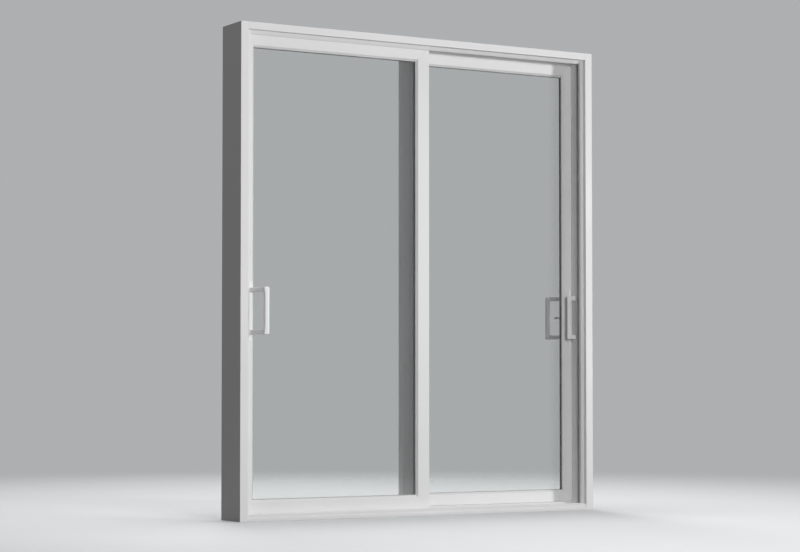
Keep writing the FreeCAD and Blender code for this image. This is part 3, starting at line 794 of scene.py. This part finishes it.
class DOOR_OT_stage(bpy.types.Operator):
    """Floor, light, world and camera"""

    bl_idname = "door.stage"
    bl_label = "Stage"

    def execute(self, context):
        scene = context.scene
        scene.view_settings.view_transform = "Standard"
        self.make_floor()
        self.make_world(scene)
        for name, in_gloss in LAMPS:
            self.make_lamp(scene, name, in_gloss)
        self.make_camera(scene)
        return {"FINISHED"}

    def make_floor(self):
        """Round pale floor that fades into the backdrop and throws little light back."""
        settings = stage()
        tool = bmesh.new()
        bmesh.ops.create_circle(
            tool, cap_ends=True, segments=settings.floor_sides, radius=settings.floor_radius
        )
        mesh = bpy.data.meshes.new("floor")
        tool.to_mesh(mesh)
        tool.free()
        material, tree, shader, add = new_material("pale_floor")
        tone = add("ShaderNodeMix", data_type="RGBA")
        tone.inputs["A"].default_value = (*settings.floor_bounce, 1.0)
        tone.inputs["B"].default_value = (*settings.floor, 1.0)
        tree.links.new(seen_rays(tree), tone.inputs["Factor"])
        tree.links.new(tone.outputs["Result"], shader.inputs["Base Color"])
        shader.inputs["Roughness"].default_value = 0.9
        shader.inputs["Specular IOR Level"].default_value = 0.0
        coordinates = add("ShaderNodeTexCoord")
        distance = add("ShaderNodeVectorMath", operation="LENGTH")
        fade = add("ShaderNodeMapRange", interpolation_type="SMOOTHSTEP")
        fade.inputs["From Min"].default_value = settings.floor_near
        fade.inputs["From Max"].default_value = settings.floor_far
        clear = add("ShaderNodeBsdfTransparent")
        mix = add("ShaderNodeMixShader")
        tree.links.new(coordinates.outputs["Object"], distance.inputs[0])
        tree.links.new(distance.outputs["Value"], fade.inputs["Value"])
        tree.links.new(fade.outputs["Result"], mix.inputs["Fac"])
        tree.links.new(shader.outputs["BSDF"], mix.inputs[1])
        tree.links.new(clear.outputs["BSDF"], mix.inputs[2])
        tree.links.new(mix.outputs["Shader"], tree.nodes["Material Output"].inputs["Surface"])
        mesh.materials.append(material)
        floor = bpy.data.objects.new("floor", mesh)
        bpy.context.scene.collection.objects.link(floor)

    def make_world(self, scene):
        """Soft light from all round, with the backdrop's colour where it is seen."""
        settings = stage()
        world = bpy.data.worlds.new("studio")
        world.use_nodes = True
        tree = world.node_tree
        lit = tree.nodes["Background"]
        lit.inputs["Color"].default_value = (1.0, 1.0, 1.0, 1.0)
        lit.inputs["Strength"].default_value = settings.fill
        seen = tree.nodes.new("ShaderNodeBackground")
        seen.inputs["Color"].default_value = (*settings.backdrop, 1.0)
        mix = tree.nodes.new("ShaderNodeMixShader")
        tree.links.new(seen_rays(tree), mix.inputs["Fac"])
        tree.links.new(lit.outputs["Background"], mix.inputs[1])
        tree.links.new(seen.outputs["Background"], mix.inputs[2])
        tree.links.new(mix.outputs["Shader"], tree.nodes["World Output"].inputs["Surface"])
        scene.world = world

    def make_lamp(self, scene, name, in_gloss):
        """Round lamp aimed at the door's middle, not seen through glass."""
        settings = stage()
        lamp = bpy.data.lights.new(name, "AREA")
        lamp.shape = "DISK"
        lamp.size = getattr(settings, name + "_size")
        lamp.energy = getattr(settings, name + "_power")
        holder = bpy.data.objects.new(name, lamp)
        holder.location = getattr(settings, name + "_place")
        holder.rotation_euler = (DOOR_MIDDLE - holder.location).to_track_quat("-Z", "Y").to_euler()
        holder.visible_camera = False
        holder.visible_transmission = False
        holder.visible_glossy = in_gloss
        scene.collection.objects.link(holder)

    def make_camera(self, scene):
        """Camera at the picture's viewing angle, with its frame shifted upwards."""
        settings = stage()
        data = bpy.data.cameras.new("camera")
        data.sensor_width = SENSOR_WIDTH
        data.lens = settings.focal_pixels * SENSOR_WIDTH / IMAGE_WIDTH
        data.shift_y = settings.rise_pixels / IMAGE_WIDTH
        data.clip_end = CAMERA_REACH
        camera = bpy.data.objects.new("camera", data)
        camera.location = settings.camera_place
        camera.rotation_euler = (math.pi / 2 + settings.camera_tilt, 0.0, -settings.camera_turn)
        scene.collection.objects.link(camera)
        scene.camera = camera


# Add-on


class DOOR_PT_sidebar(bpy.types.Panel):
    bl_idname = "DOOR_PT_sidebar"
    bl_label = "Patio Door"
    bl_space_type = "VIEW_3D"
    bl_region_type = "UI"
    bl_category = "Patio Door"

    def draw(self, context):
        for operator in STEPS:
            self.layout.operator(operator.bl_idname)
        for group, name in GROUPS:
            settings = getattr(context.scene, name)
            for value in group.__annotations__:
                self.layout.prop(settings, value)


STEPS = (
    DOOR_OT_frame_bars,
    DOOR_OT_leaf_bars,
    DOOR_OT_glass_units,
    DOOR_OT_pulls,
    DOOR_OT_locks,
    DOOR_OT_running_gear,
    DOOR_OT_seals,
    DOOR_OT_stage,
)
GROUPS = (
    (DoorFinishes, "door_finishes"),
    (DoorDetails, "door_details"),
    (DoorStage, "door_stage"),
)


def register():
    for group, name in GROUPS:
        bpy.utils.register_class(group)
        setattr(bpy.types.Scene, name, PointerProperty(type=group))
    for operator in STEPS:
        bpy.utils.register_class(operator)
    bpy.utils.register_class(DOOR_PT_sidebar)


def unregister():
    bpy.utils.unregister_class(DOOR_PT_sidebar)
    for operator in reversed(STEPS):
        bpy.utils.unregister_class(operator)
    for group, name in reversed(GROUPS):
        delattr(bpy.types.Scene, name)
        bpy.utils.unregister_class(group)


def main():
    register()
    bpy.ops.door.frame_bars()
    bpy.ops.door.leaf_bars()
    bpy.ops.door.glass_units()
    bpy.ops.door.pulls()
    bpy.ops.door.locks()
    bpy.ops.door.running_gear()
    bpy.ops.door.seals()
    bpy.ops.door.stage()


if __name__ == "__main__":
    main()
